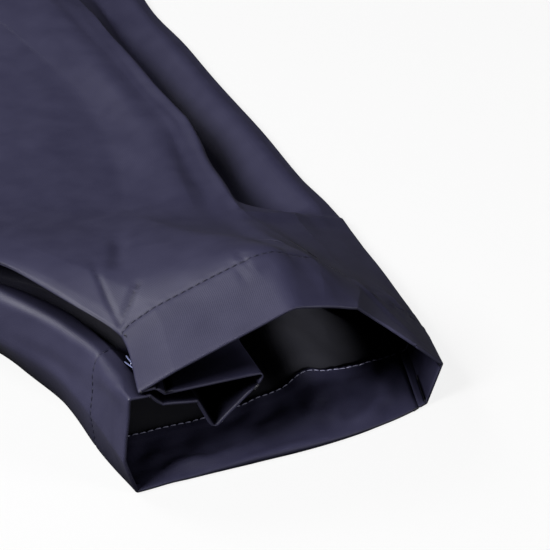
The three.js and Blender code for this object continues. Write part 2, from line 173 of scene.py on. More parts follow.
def smooth_rows(heights, values, wanted):
    """Values given at some heights, at any height: a curve through them that never overshoots."""
    heights = np.asarray(heights, float)
    flat = np.asarray(values, float).reshape(len(heights), -1)
    step = np.diff(heights)[:, None]
    slope = np.diff(flat, axis=0) / step
    tangent = np.zeros_like(flat)
    product = slope[:-1] * slope[1:]
    first, second = 2 * step[1:] + step[:-1], step[1:] + 2 * step[:-1]
    with np.errstate(divide="ignore", invalid="ignore"):
        mean = (first + second) / (first / slope[:-1] + second / slope[1:])
    tangent[1:-1] = np.where(product > 0, np.nan_to_num(mean), 0)
    tangent[0], tangent[-1] = slope[0], slope[-1]
    k = np.clip(np.searchsorted(heights, wanted, "right") - 1, 0, len(heights) - 2)
    t = ((wanted - heights[k]) / np.diff(heights)[k])[:, None]
    reach = np.diff(heights)[k][:, None]
    result = ((2 * t**3 - 3 * t**2 + 1) * flat[k] + (t**3 - 2 * t**2 + t) * reach * tangent[k]
              + (3 * t**2 - 2 * t**3) * flat[k + 1] + (t**3 - t**2) * reach * tangent[k + 1])
    return result.reshape((len(wanted),) + np.asarray(values).shape[1:])


def fold_lines(heights, folds, steps):
    """Every fold of a leg as (across, height) at each height of the leg and then of the seat."""
    lines = {name: list(places) for name, places in folds.items()}
    for name, (start, end, places) in steps.items():
        lines[name] = []
        for row, (share, lift) in enumerate(places):
            a, b = folds[start][row], folds[end][row]
            lines[name].append((a[0] + share * (b[0] - a[0]), a[1] + share * (b[1] - a[1]) + lift))
    outer = [place[0] for place in folds["edge"]]
    for row, up in enumerate(SEAT_UP):
        half = SEAT_HALF[row]
        centre_z = SEAT_CENTRE_Z[row]
        edge_x = (half - TOE_X + up * math.sin(SPREAD)) / math.cos(SPREAD)
        centre_x = edge_x - half + SEAM_GAP
        outer.append(edge_x)
        lines["heel"].append((edge_x - 2.5, 0))
        lines["edge"].append((edge_x, 4))
        for name, places in SEAT.items():
            lines[name].append((edge_x - places[row][0] * half, places[row][1]))
        ridge, crown = lines["ridge"][-1], lines["crown"][-1]
        lines["shoulder"].append((0.5 * (ridge[0] + crown[0]), 0.5 * (ridge[1] + crown[1]) + 0.8))
        lines["slope"].append((edge_x - 0.84 * half, 0.5 * (crown[1] + centre_z) + 1.5))
        for name, inset, lift in SEAT_FRONT_STEPS:
            lines[name].append((centre_x + inset, centre_z + lift))
        lines.setdefault("seat_centre", []).append((centre_x, centre_z))
    return lines, tuple(heights) + SEAT_UP, outer


def panel_corners(lines, path, heights, back):
    """The corners that one panel's section crosses, at each height where the folds are given."""
    lines = {name: np.array(places, float) for name, places in lines.items()}
    leg_rows = len(heights) - len(SEAT_UP)
    if back:
        centre = lines["seat_centre"]
        for name, inset in SEAT_BACK_STEPS:
            flat = np.stack([centre[:, 0] + inset, np.zeros(len(centre))], axis=1)
            lines[name] = np.concatenate([lines[name][:leg_rows], flat])
        edge_x, half = lines["heel"][leg_rows:, 0] + 2.5, np.array(SEAT_HALF)
        for name, share in (("rise", 0.65), ("swell", 0.35)):
            flat = np.stack([edge_x - share * half, np.zeros(len(half))], axis=1)
            lines[name] = np.concatenate([lines[name][:leg_rows], flat])
    tip, dip = lines["tip"][:leg_rows], lines["dip"][:leg_rows]
    length = np.linalg.norm(dip - tip, axis=1)[:, None]
    reach = np.minimum(0.45, SEAM_WRAP / length)
    inner = tip + (dip - tip) * (reach + (SEAM_GAP / length if back else 0))
    seat_inner = lines["seat_centre"] * ([1, 0] if back else [1, 1])
    lines["seam_in"] = np.concatenate([inner, seat_inner])
    lines["seam_out"] = lines["heel"] - [SEAM_WRAP - (0 if back else SEAM_GAP), 0]
    return np.stack([lines[name] for name in path], axis=1)


def bend_section(corners, up, path, across):
    """Rounds the corners of each section. across says how many columns each bend and each stretch has. Gives
    the points, each fold's middle column, and its half angle, its radius and whether it opens outwards."""
    points, fold_column = [corners[:, 0]], {}
    hem_share = 1 - smooth_step(up, 10, 60)
    column = 0
    halves, radii, convex = {}, {}, {}
    for k, name in enumerate(path[1:-1], start=1):
        here = corners[:, k]
        before, after = corners[:, k - 1] - here, corners[:, k + 1] - here
        most = 0.46 * np.minimum(np.linalg.norm(before, axis=1), np.linalg.norm(after, axis=1))
        before = before / np.maximum(np.linalg.norm(before, axis=1), 1e-6)[:, None]
        after = after / np.maximum(np.linalg.norm(after, axis=1), 1e-6)[:, None]
        half = np.arccos(np.clip((before * after).sum(1), -1, 1)) / 2
        half = np.clip(half, 0.05, math.pi / 2 - 0.004)
        solid, at_hem, above = BENDS[name]
        radius = above + (at_hem - above) * hem_share
        if name == "brim":  # the side wall's top is a soft roll, and sharp only at the hem's edge
            radius = np.maximum(radius, BRIM_ROLL * window(up, 1, 16, 110, 200))
        middle = before + after
        middle = middle / np.maximum(np.linalg.norm(middle, axis=1), 1e-6)[:, None]
        turn = before[:, 0] * after[:, 1] - before[:, 1] * after[:, 0]
        if solid < SHARP:  # a tighter bend than the solid's keeps its outermost point in the same place
            solid_radius = np.minimum(solid / np.tan(half), most) * np.tan(half)
            shift = (solid_radius - np.minimum(radius, solid_radius)) * (1 / np.sin(half) - 1)
            here = here + middle * np.minimum(shift, 0.4 * most)[:, None]
        reach = np.minimum(radius / np.tan(half), most)
        radius = reach * np.tan(half)
        start = here + before * reach[:, None]
        centre = here + middle * (radius / np.sin(half))[:, None]
        spoke = start - centre
        sweep = (math.pi - 2 * half) * np.sign(turn) * -1
        stretch, bend = across[name]
        last = points[-1]
        for share in np.arange(1, stretch + 1) / (stretch + 1):
            points.append(last + (start - last) * share)
        for share in np.linspace(0, 1, bend):
            angle = sweep * share
            c, s = np.cos(angle), np.sin(angle)
            turned = np.stack([spoke[:, 0] * c - spoke[:, 1] * s, spoke[:, 0] * s + spoke[:, 1] * c], axis=1)
            points.append(centre + turned)
        column += stretch + bend
        fold_column[name] = column - (bend - 1) // 2
        halves[name], radii[name], convex[name] = half, radius, turn
    last = points[-1]
    end = across[path[-1]][0]
    for share in np.arange(1, end + 2) / (end + 1):
        points.append(last + (corners[:, -1] - last) * share)
    return np.stack(points, axis=1), fold_column, halves, radii, convex


def on_table(x, up, outer_x, turned, side):
    """Where a point of a leg lies: x across the leg and up along it, to the garment's own frame."""
    turn = -SPREAD * turned
    across = outer_x + (x - outer_x) * np.cos(turn)
    along = up + (x - outer_x) * np.sin(turn)
    table_x = TOE_X + across * math.cos(SPREAD) - along * math.sin(SPREAD)
    table_y = across * math.sin(SPREAD) + along * math.cos(SPREAD) + hem_line_y
    return CENTRE_LINE_X + side * table_x, table_y


class Sheet:
    """One panel as rows up the leg and columns across it, on its outside."""


def nearest_row(sheet, height):
    return int(np.argmin(np.abs(sheet.up[:, 0] - height)))


def lay_sheet(lines, path, across, rows, side, hem_depths):
    """Lays a panel's outside on its fold lines. hem_depths are (fold, hem depth) in order across it, with a
    number of columns beside the fold where there is one."""
    fold_places, heights, outer = lines
    sheet = Sheet()
    back = path is BACK_PATH
    up = np.array(rows, float)
    corners = smooth_rows(heights, panel_corners(fold_places, path, heights, back), up)
    outer_x = smooth_rows(heights, np.array(outer)[:, None], up)
    section, folds, halves, radii, convex = bend_section(corners, up, path, across)
    x, z = section[:, :, 0], section[:, :, 1]
    count = x.shape[1]
    sheet.fold = folds | {path[0]: 0, path[-1]: count - 1}
    sheet.up, sheet.x, sheet.z, sheet.side, sheet.back = up[:, None] + 0 * x, x, z, side, back
    foot = smooth_rows(heights, np.array(panel_foot(fold_places, heights))[:, None], up)
    heel = smooth_rows(heights, np.array([place[0] for place in fold_places["heel"]])[:, None], up)
    share = np.clip((x - foot) / np.maximum(heel - foot, 1), 0, 1)
    under = (1 - smooth_step(z, 5, 9)) * np.maximum(0, 1 - sheet.up / 160)
    columns = [sheet.fold[name] + sum(beside) for name, _, *beside in hem_depths]
    depth_at = np.interp(np.arange(count), columns, [entry[1] for entry in hem_depths])
    fade = np.where(sheet.up < HEM, sheet.up / HEM, 1 - smooth_step(sheet.up, HEM, 3 * HEM))
    along = sheet.up - HEM_BOW * np.sin(math.pi * share**1.6) * under + (depth_at - HEM) * fade
    turned = smooth_step(sheet.up, TURN_START, TURN_END)
    sheet.place = np.stack([*on_table(x, along, outer_x, turned, side), z], axis=2)
    sheet.normal = outward(sheet.place, side)
    steps = np.linalg.norm(np.diff(section, axis=1), axis=2)
    sheet.across = np.concatenate([np.zeros((len(up), 1)), np.cumsum(steps, axis=1)], axis=1)
    # How deep a layer can lie under each point before it runs through the other side of a fold.
    room = np.full_like(x, np.inf)
    for name, half in halves.items():
        open_fold = convex[name] > 0
        away = np.abs(sheet.across - sheet.across[:, [sheet.fold[name]]])
        tight = 0.75 * radii[name][:, None] + 0.9 * away * np.tan(np.minimum(half, 1.4))[:, None]
        room = np.where(open_fold[:, None], np.minimum(room, tight), room)
    sheet.room = room
    return sheet


def panel_foot(fold_places, heights):
    """Where the under side starts at the inseam."""
    seat = [place[0] for place in fold_places["seat_centre"]]
    return [place[0] for place in fold_places["foot"]][:len(heights) - len(SEAT_UP)] + seat


def outward(place, side):
    """The outside's direction at each point of a grid of points."""
    across = np.gradient(place, axis=1)
    upward = np.gradient(place, axis=0)
    normal = np.cross(upward, across) * side
    return normal / np.maximum(np.linalg.norm(normal, axis=2), 1e-9)[:, :, None]


def crease(across, up, line, left, right, crisp):
    """A crease along a line of (across, up, height): a ridge if the height is above 0, a trough if below.
    left and right are its widths towards smaller and larger across, and crisp from 0, round, to 1, sharp."""
    best = np.full(across.shape, 1e9)
    height = np.zeros(across.shape)
    sign = np.ones(across.shape)
    runs_up = line[-1][1] >= line[0][1]
    for (start_x, start_up, start_height), (end_x, end_up, end_height) in zip(line[:-1], line[1:]):
        run_x, run_up = end_x - start_x, end_up - start_up
        along = (across - start_x) * run_x + (up - start_up) * run_up
        share = np.clip(along / (run_x * run_x + run_up * run_up), 0, 1)
        away_x, away_up = across - start_x - share * run_x, up - start_up - share * run_up
        away = np.hypot(away_x, away_up)
        nearer = away < best
        best = np.where(nearer, away, best)
        height = np.where(nearer, start_height + (end_height - start_height) * share, height)
        beside = away_x * run_up - away_up * run_x
        sign = np.where(nearer, np.sign(beside if runs_up else -beside), sign)
    near = np.clip(1 - best / np.where(sign < 0, left, right), 0, 1)
    return height * (crisp * near**1.15 + (1 - crisp) * near * near * (3 - 2 * near))


def creases(across, up, lines, crisp):
    """Several creases together. lines are (line, left, right), each as for crease."""
    return sum(crease(across, up, line, left, right, crisp) for line, left, right in lines)


def unevenness(across, up, shortest, longest, seed, stretch=1.0):
    """Low soft rises and hollows of a cloth that was folded and shaken out, about -1 to 1."""
    random = np.random.default_rng(seed)
    total = np.zeros(np.broadcast(across, up).shape)
    for _ in range(UNEVEN_WAVES):
        angle = random.uniform(0, math.pi)
        wave = 2 * math.pi / random.uniform(shortest, longest)
        phase = random.uniform(0, 2 * math.pi)
        total += np.sin(wave * (across * math.cos(angle) + up * math.sin(angle) / stretch) + phase)
    return total / math.sqrt(UNEVEN_WAVES)


def crumple(across, up, size, seed):
    """Small flat facets between sharp lines, as where stiff thin cloth is pushed together, about -1 to 1."""
    random = np.random.default_rng(seed)
    total = np.zeros(np.broadcast(across, up).shape)
    for layer in range(CRUMPLE_LAYERS):
        scale = size * 0.62**layer
        for _ in range(4):
            angle = random.uniform(0, math.pi)
            phase = random.uniform(0, 2)
            bent = 0.35 * np.sin((across * math.sin(angle) - up * math.cos(angle)) / scale * 1.7 + phase * 5)
            turn = (across * math.cos(angle) + up * math.sin(angle)) / scale + bent + phase
            total += (2 * np.abs(turn - 2 * np.floor(turn / 2) - 1) - 1) * 0.6**layer
    return total / 3.4


def crumples_at_stitches(sheet, height, size, seed, beside, above):
    """Crumples in the cloth that gathers at the outer side's hem stitches. beside and above are windows."""
    near = window(sheet.x, *beside) * window(sheet.up, *above)
    return height * near * crumple(sheet.across, sheet.up, size, seed)


def upright_puckers(sheet, places, left, right):
    """Puckers up and down the cloth. places are (across, start, end, depth)."""
    total = np.zeros_like(sheet.x)
    for place, start, end, deep in places:
        line = (place - 1, start, 0), (place, 0.5 * (start + end), -deep), (place + 1, end, 0)
        total += crease(sheet.x, sheet.up, line, left, right, 0.2)
    return total


def between_folds(sheet, first, last):
    """1 on the columns between two folds, fading over a few columns, and 0 elsewhere."""
    column = np.arange(sheet.x.shape[1])[None, :]
    low, high = sorted((sheet.fold[first], sheet.fold[last]))
    return window(column, low - FOLD_FADE, low + FOLD_FADE, high - FOLD_FADE, high + FOLD_FADE)


def hem_puckers(sheet, depth, seed):
    """Short uneven puckers that the hem's stitches leave, up and down the cloth."""
    random = np.random.default_rng(seed)
    total = np.zeros_like(sheet.x)
    round_hem = sheet.across[[nearest_row(sheet, HEM)]]
    rise = sheet.up - HEM
    start = smooth_step(np.abs(rise), 0.2, 1.4)
    place = 4
    while place < round_hem.max():
        lean = random.uniform(-0.35, 0.35)
        width = random.uniform(0.28, 0.5) * PUCKER_SPACING
        deep = depth * random.uniform(0.3, 1.3)
        above, below = PUCKER_UP * random.uniform(0.4, 1.5), PUCKER_DOWN * random.uniform(0.4, 1.4)
        near = np.clip(1 - np.abs(round_hem - place - lean * rise) / width, 0, 1)
        length = np.where(rise > 0, np.clip(1 - rise / above, 0, 1), np.clip(1 + rise / below, 0, 1))
        total -= deep * near * near * (3 - 2 * near) * length * length * start
        place += PUCKER_SPACING * random.uniform(0.55, 1.5)
    return total


def seam_edges(sheet):
    """The cloth turns in where it is sewn to the next panel, with short gathers left by the stitches."""
    gather = 0.5 + 0.5 * unevenness(sheet.up, 0 * sheet.up, 4, 13, 71)
    total = np.zeros_like(sheet.x)
    for end in (0, -1):
        away = np.abs(sheet.across - sheet.across[:, [end]])
        total -= 0.55 * np.clip(1 - away / 1.6, 0, 1) ** 2
        total -= 0.22 * gather * np.clip(1 - away / 7, 0, 1) ** 2
    return total


def waist_gathers(sheet, seed):
    """Gathers that the hidden elastic draws up in the casing, running out below it."""
    random = np.random.default_rng(seed)
    round_waist = sheet.across[[nearest_row(sheet, WAIST - 0.6 * CASING)]]
    drop = WAIST - CASING - sheet.up
    inside_casing = smooth_step(-drop, -14, 8)
    spread = 1 + np.clip(drop, 0, 90) / 60
    total = np.zeros_like(sheet.x)
    place = random.uniform(3, 8)
    while place < round_waist.max() - 3:
        width = random.uniform(3.2, 5.6)
        deep = random.uniform(1.1, 2.1)
        below = random.uniform(22, 74)
        lean = random.uniform(-0.12, 0.12)
        near = np.clip(1 - np.abs(round_waist - place - lean * drop) / (width * spread), 0, 1)
        run_out = np.clip(1 - drop / below, 0, 1)
        strength = np.where(drop > 0, 0.8 * run_out**1.5, 1) * (0.55 + 0.45 * inside_casing)
        total -= deep * near * near * (3 - 2 * near) * strength
        place += random.uniform(6.5, 12.5)
    return total


def slack_and_sewing(sheet, seed, slack, fine, puckers):
    """What every panel has over its own creases: soft unevenness, the puckers and the groove of the hem's
    stitches, its seams and the gathers of the waist. slack, fine and puckers are heights."""
    across, up = sheet.across, sheet.up
    shortest, longest = (40, 110) if sheet.back else (45, 120)
    total = slack * unevenness(across, up, shortest, longest, seed) * smooth_step(up, 6, 60)
    small = fine * unevenness(across, up, 14, 34, seed + 1, stretch=3)
    total += small if sheet.back else small * smooth_step(up, 2, 20)
    total += hem_puckers(sheet, puckers, seed + 2)
    total -= 0.3 * np.clip(1 - np.abs(up - HEM), 0, 1)
    return total + seam_edges(sheet) + waist_gathers(sheet, seed + 3)


def with_allowances(points, directions, pressed):
    """Adds the seam allowances at both edges. Pressed ones run on level under the next panel and close the
    seam, and the others turn back under their own panel."""
    columns = [points]
    for end, inner in ((0, 1), (-1, -2)):
        edge, inward = points[:, [end]], -directions[:, [end]]
        beyond = edge - points[:, [inner]]
        beyond = beyond - inward * (beyond * inward).sum(2, keepdims=True)
        beyond = beyond / np.maximum(np.linalg.norm(beyond, axis=2), 1e-9)[:, :, None]
        first = edge + inward * (0.38 if pressed else 0.3)
        second = first + inward * 0.1 + beyond * (PRESSED_ALLOWANCE if pressed else -TURNED_ALLOWANCE)
        added = [second, first] if end == 0 else [first, second]
        columns = added + columns if end == 0 else columns + added
    return np.concatenate(columns, axis=1)


def turn_in(sheet, seed, inner_lift):
    """All of a panel's rows, from the hem's raw edge round the hem, up the outside and over the waist to the
    casing's raw edge. The second result points away from each row's seam allowances."""
    up = sheet.up[:, 0]
    hem_rows = [row for row in range(len(up)) if up[row] <= HEM + RAW_EDGE]
    waist_rows = [row for row in range(len(up)) if up[row] >= WAIST - CASING - RAW_EDGE][::-1]
    depth = np.minimum(LAYER, sheet.room)
    own = 0.22 * unevenness(sheet.across, sheet.up, 9, 30, seed) * smooth_step(sheet.up, 2, 12)
    from_seam = np.minimum(sheet.across - sheet.across[:, [0]], sheet.across[:, [-1]] - sheet.across)
    inner = (sheet.lift * 0.92 + inner_lift + own) * smooth_step(from_seam, 0, 10)
    layers, directions = [], []

    def add(row, below, forward=0.0, turned_in=0.0):
        lift = sheet.lift[row] * (1 - turned_in) + inner[row] * turned_in
        place = sheet.place[row] + sheet.normal[row] * (lift - below)[:, None]
        upward = sheet.place[min(row + 1, len(up) - 1)] - sheet.place[max(row - 1, 0)]
        upward = upward / np.maximum(np.linalg.norm(upward, axis=1), 1e-9)[:, None]
        layers.append(place + upward * np.reshape(forward, (-1, 1)))
        is_inner = np.mean(below) > 0.55 * LAYER  # an inner layer's allowances lie between the two layers
        directions.append(sheet.normal[row] * (-1 if is_inner else 1))

    # The raw edge folded under, the turned-in layer down to the hem edge, and the roll round that edge.
    top = hem_rows[-1]
    add(top, depth[top] * 0.5, -1.6, 1)
    add(top, depth[top] * 0.5, 0, 1)
    add(top, depth[top] * 0.62, 0.28, 1)
    add(top, depth[top] + 0.5, 0.28, 1)
    for row in hem_rows[:0:-1]:
        if row == nearest_row(sheet, HEM):
            sheet.hem_inside = len(layers)
        # Above 30 mm the layer is thicker, because its raw edge lies folded under it.
        add(row, depth[row] + 0.7 * smooth_step(up[row], 29.6, 30.8), 0, 1)
    half = depth[0] / 2
    for angle in np.radians((60, 30, 0, -30, -60)):
        add(0, half * (1 + math.sin(angle)), half * (1 - math.cos(angle)), 0.5 + 0.5 * math.sin(angle))
    sheet.first_outer = len(layers) - 1
    for row in range(1, len(up) - 1):
        add(row, np.zeros_like(half))
    # Over the waist edge, round the hidden elastic, and down to the casing's stitches.
    thick = np.full_like(half, CASING_DEPTH)
    for angle in np.radians((-70, -35, 0, 35, 70)):
        add(len(up) - 1, thick * 0.5 * (1 + math.sin(angle)), thick * 0.5 * (math.cos(angle) - 1))
    for row in waist_rows[1:]:
        add(row, thick)
    sheet.casing_inside = len(layers) - 1
    for rise, forward in ((0.25, -0.3), (0.7, -0.3), (0.8, 1.6)):
        add(waist_rows[-1], thick - rise, forward)
    return np.array(layers), np.array(directions)


def add_piece(name, points, faces, *materials):
    """Adds a piece from points in millimetres, and leaves it active and selected."""
    mesh = bpy.data.meshes.new(name)
    mesh.from_pydata((np.asarray(points) * MM).tolist(), [], faces)
    for material in materials:
        mesh.materials.append(material)
    piece = bpy.data.objects.new(name, mesh)
    bpy.context.scene.collection.objects.link(piece)
    bpy.ops.object.select_all(action="DESELECT")
    bpy.context.view_layer.objects.active = piece
    piece.select_set(True)
    return piece


def finish_sheet(sheet, name, seed, inner_lift=0.0):
    """Turns the hem, casing and seam allowances in, gives the cloth its thickness and returns the piece."""
    points = with_allowances(*turn_in(sheet, seed, inner_lift), not sheet.back)
    points[:, :, 2] = np.maximum(points[:, :, 2], REST_HEIGHT)
    sheet.skin = points[:, ALLOWANCE_COLUMNS:-ALLOWANCE_COLUMNS]
    count_rows, count = points.shape[:2]
    index = np.arange(count_rows * count).reshape(count_rows, count)
    a, b, c, d = index[:-1, :-1], index[:-1, 1:], index[1:, 1:], index[1:, :-1]
    faces = np.stack((a, d, c, b) if sheet.side > 0 else (a, b, c, d), axis=2).reshape(-1, 4)
    piece = add_piece(name, points.reshape(-1, 3), faces.tolist(), CLOTH_FACE, CLOTH_REVERSE)
    # The cloth's own flat coordinates, so that the weave follows the cut.
    steps = np.linalg.norm(np.diff(points, axis=0), axis=2)
    length = np.concatenate([np.zeros((1, count)), np.cumsum(steps, axis=0)]) * MM
    steps = np.linalg.norm(np.diff(points, axis=1), axis=2)
    girth = np.concatenate([np.zeros((count_rows, 1)), np.cumsum(steps, axis=1)], axis=1) * MM
    flat = np.stack([girth, length], axis=2).reshape(-1, 2)
    corner = np.zeros(len(piece.data.loops), int)
    piece.data.loops.foreach_get("vertex_index", corner)
    piece.data.uv_layers.new(name="cut").data.foreach_set("uv", flat[corner].ravel())
    wall = piece.modifiers.new("cloth", "SOLIDIFY")
    wall.thickness = CLOTH * MM
    wall.offset = -1
    wall.material_offset = 1
    bpy.ops.object.modifier_apply(modifier=wall.name)
    bpy.ops.object.shade_smooth()
    return piece


def span(*stretches):
    """Distances up the leg, from stretches of (start, end, spacing)."""
    up = []
    for start, end, spacing in stretches:
        count = max(1, round((end - start) / spacing))
        up += [start + (end - start) * k / count for k in range(count)]
    return up + [stretches[-1][1]]


def linear(colour):
    """An sRGB hex colour as linear red, green and blue, with full alpha."""
    parts = [int(colour[k:k + 2], 16) / 255 for k in (1, 3, 5)]
    return tuple(p / 12.92 if p <= 0.04045 else ((p + 0.055) / 1.055) ** 2.4 for p in parts) + (1,)


def add_node(material, kind, settings, inputs):
    """Adds a node with its settings. inputs are values, or (node, output) pairs to link from."""
    node = material.node_tree.nodes.new("ShaderNode" + kind)
    for name, value in settings.items():
        setattr(node, name, value)
    for name, value in inputs.items():
        if isinstance(value, tuple) and hasattr(value[0], "outputs"):
            material.node_tree.links.new(value[0].outputs[value[1]], node.inputs[name])
        else:
            node.inputs[name].default_value = value
    return node


def woven(name, light, dark, surface, weave_height, slub_height):
    """A plain weave: two sets of threads across each other, some a little thicker than the rest. Its colour
    and gloss are darkened in folds as painted shade.
    """
    material = bpy.data.materials.new(name)
    material.use_nodes = True
    shader = material.node_tree.nodes["Principled BSDF"]
    cut = add_node(material, "UVMap", {"uv_map": "cut"}, {})
    weft, warp = [
        add_node(material, "TexWave", {"wave_type": "BANDS", "bands_direction": direction},
                 {"Vector": (cut, "UV"), "Scale": math.pi / 10 / WEAVE_PITCH, "Distortion": 0.6,
                  "Detail": 1.0, "Detail Scale": 0.4}) for direction in ("X", "Y")]
    crossing = add_node(material, "Math", {"operation": "MULTIPLY"}, {0: (weft, "Fac"), 1: (warp, "Fac")})
    grain = add_node(material, "TexNoise", {},
                     {"Vector": (cut, "UV"), "Scale": 1 / GRAIN, "Detail": 3.0, "Roughness": 0.65})
    mixed = add_node(material, "Math", {"operation": "MULTIPLY_ADD"},
                     {0: (grain, "Fac"), 1: slub_height / weave_height, 2: (crossing, "Value")})
    bump = add_node(material, "Bump", {},
                    {"Height": (mixed, "Value"), "Strength": 1.0, "Distance": weave_height})
    cloud = add_node(material, "TexNoise", {},
                     {"Vector": (cut, "UV"), "Scale": 1 / SHADE_PATCH, "Detail": 2.0})
    speck = add_node(material, "Math", {"operation": "MULTIPLY_ADD"},
                     {0: (grain, "Fac"), 1: 1.1, 2: (cloud, "Fac")})
    share = add_node(material, "MapRange", {}, {"Value": (speck, "Value"), "From Min": 0.7, "From Max": 1.4})
    colour = add_node(material, "Mix", {"data_type": "RGBA"},
                      {"Factor": (share, "Result"), "A": linear(dark), "B": linear(light)})
    # Painted shade: deep in a fold, near another layer, the colour is darkened towards black and the cloth
    # loses its gloss there, standing in for the shade the layers cast on each other.
    painted_shade_ao = add_node(material, "AmbientOcclusion", {"samples": 8}, {"Distance": FOLD_SHADE_REACH})
    shade = add_node(material, "Math", {"operation": "POWER"}, {0: (painted_shade_ao, "AO"), 1: FOLD_SHADE})
    colour_with_painted_shade = add_node(material, "Mix", {"data_type": "RGBA"},
                      {"Factor": (shade, "Value"), "A": linear("#000000"), "B": (colour, "Result")})
    gloss = add_node(material, "Math", {"operation": "MULTIPLY"},
                     {0: (shade, "Value"), 1: surface["Specular IOR Level"]})
    for socket, value in surface.items():
        shader.inputs[socket].default_value = value
    links = material.node_tree.links
    links.new(colour_with_painted_shade.outputs["Result"], shader.inputs["Base Color"])
    links.new(bump.outputs["Normal"], shader.inputs["Normal"])
    links.new(gloss.outputs["Value"], shader.inputs["Specular IOR Level"])
    return material


# Coated plain-weave polyamide, dyed navy: a tight flat weave of filament yarn, with a soft silky gloss that
# is bluish where light falls on it and grey at a flat angle. Its threads are 0.2 mm, drawn coarser to show.
WEAVE_PITCH = 0.75 * MM
GRAIN = 0.55 * MM
SHADE_PATCH = 14 * MM
# Painted shade in folds: how near another layer it starts, and how steeply it darkens the colour and gloss.
FOLD_SHADE_REACH = 22 * MM
FOLD_SHADE = 1.8
CLOTH_FACE = woven("coated_plain_weave_polyamide", "#343349", "#29283e",
                   {"Roughness": 0.5, "Specular IOR Level": 0.4}, 0.03 * MM, 0.05 * MM)
# The same cloth's polyurethane-coated reverse: smoother, darker and nearly neutral.
CLOTH_REVERSE = woven("polyurethane_coated_reverse", "#3a3a41", "#303037",
                      {"Roughness": 0.42, "Specular IOR Level": 0.5}, 0.015 * MM, 0.03 * MM)


propped_lines = fold_lines(PROPPED_UP, PROPPED, PROPPED_STEPS)
FINE_ROWS = span((0, 0.7, 0.7), (0.7, 33, 1.4), (33, 35, 0.5), (35, 140, 1.5), (140, 330, 3.3),
                 (330, 640, 6.2), (640, 704, 4), (704, 740, 2.8))
RIGHT_FRONT_ACROSS = {"heel": (2, 4), "edge": (7, 6), "shelf": (8, 3), "valley": (9, 3), "ridge": (10, 6),
                      "shoulder": (8, 3), "crown": (8, 4), "slope": (28, 3), "lip": (16, 6),
                      "notch_top": (3, 4), "notch": (3, 4), "tip": (8, 5), "seam_in": (2, 0)}
right_front = lay_sheet(propped_lines, FRONT_PATH, RIGHT_FRONT_ACROSS, FINE_ROWS, 1,
                        (("seam_out", 33), ("edge", 31.5), ("ridge", 32.5), ("crown", 35.5), ("slope", 39.5),
                         ("lip", 39.3, -9), ("lip", 38, -4), ("lip", 35), ("notch_top", 31), ("seam_in", 36)))
x, up = right_front.x, right_front.up
lift = np.zeros_like(x)
# Pinched line and the small tucks that start where the hem's stitches meet the lip.
lift += crease(x, up, ((12, 38, -0.5), (12.1, 51, -0.8), (13.6, 68, -0.8), (17, 88, 0)), 1.2, 1.9, 0.9)
lift += crease(x, up, ((12.6, 37, -0.5), (15.1, 39.5, -0.8), (18.9, 43, -1.1), (24.6, 50, -1.0),
                       (26.5, 54, 0)), 2.2, 1.1, 0.9)
lift += crease(x, up, ((21, 66, 0), (25, 76, -1.3), (31, 92, -1.2), (36, 108, 0)), 4.5, 5.5, 0)
lift += crease(x, up, ((36, 60, 0), (42, 78, 0.7), (52, 110, 0.6), (60, 150, 0)), 14, 10, 0.1)
# The long ridge stands up in a lip, with a shallow darker trough beside it.
lift += crease(x, up, ((96, 112, 0.4), (100, 150, 1.6), (107.5, 205, 2.4), (107.5, 260, 2.2),
                       (109, 330, 0.6)), 4.5, 2, 0.6)
lift += crease(x, up, ((78, 104, 0), (88, 137, -1.2), (96, 196, -1.8), (98, 243, -1.9), (98, 300, -1.2),
                       (96, 360, 0)), 10, 7, 0)
# The sharp step across the outer side where the opened hem ends, with the flat facet below it.
lift += crease(x, up, ((94, 117, 0.4), (104, 116, 1.6), (118, 118, 2.0), (134, 121, 1.9), (149, 125, 0.8)),
               2.2, 9, 1)
lift += crease(x, up, ((95, 115, 0.4), (92, 98, 1.9), (90.5, 83, 2.4), (87.5, 60, 2.4), (87.5, 42, 2.0),
                       (90, 30, 1.5), (92, 12, 0.4)), 7, 15, 0.8)
lift += crease(x, up, ((107, 34, 0.8), (108.5, 24, 1.2), (112, 15, 1.2), (119, 10, 0.9), (128, 5, 0.1)),
               3, 3, 0.9)
lift += crease(x, up, ((124, 60, 0), (122, 45, -1.0), (119, 33, -0.8), (112, 26, 0)), 5, 4, 0.6)
lift += crease(x, up, ((133, 62, 0), (131, 46, 0.9), (129, 33, 0.6), (126, 22, 0)), 3, 3, 0.6)
# Crumples in the gathered cloth at the stitches of the outer side.
lift += crumples_at_stitches(right_front, 0.42, 4.5, 4, (104, 114, 136, 146), (15, 27, 40, 64))
# Puckers at the crown of the hem, some of them long.
lift += upright_puckers(right_front, ((58, 20, 36, 0.5), (62, 26, 50, 0.7), (66, 18, 38, 0.9),
                                      (70, 24, 46, 0.7), (75, 20, 40, 0.6), (80, 28, 44, 0.5)), 2.2, 1.8)
lift += crease(x, up, ((84, 2, 0.2), (86, 16, 0.6), (84, 32, 0.4), (80, 46, 0)), 5, 5, 0.3)
# Slack folds over the thigh and the seat, fanning out from the crotch, and soft ones below the waist.
lift += creases(x, up, (
    (((-62, 516, 0), (-40, 545, 0.9), (-4, 578, 1.5), (44, 604, 1.2), (92, 618, 0)), 20, 9),
    (((-64, 494, 0), (-30, 502, -1.2), (16, 516, -1.6), (70, 540, 0)), 13, 16),
    (((-66, 470, 0), (-38, 462, 0.9), (6, 448, 1.3), (56, 424, 0.8), (86, 404, 0)), 9, 18),
    (((-60, 420, 0), (-26, 408, -0.9), (20, 388, -1.0), (60, 362, 0)), 14, 12),
    (((30, 704, 0), (40, 668, 1.2), (52, 630, 1.0), (60, 590, 0)), 12, 7),
    (((84, 700, 0), (98, 664, 1.2), (108, 628, 0.9), (112, 586, 0)), 7, 12),
    (((-40, 700, 0), (-34, 672, 0.9), (-20, 640, 0.7), (-4, 612, 0)), 10, 8)), 0.25)
lift = lift * between_folds(right_front, "edge", "lip")
lift += slack_and_sewing(right_front, 11, 0.55, 0.13, 0.42)
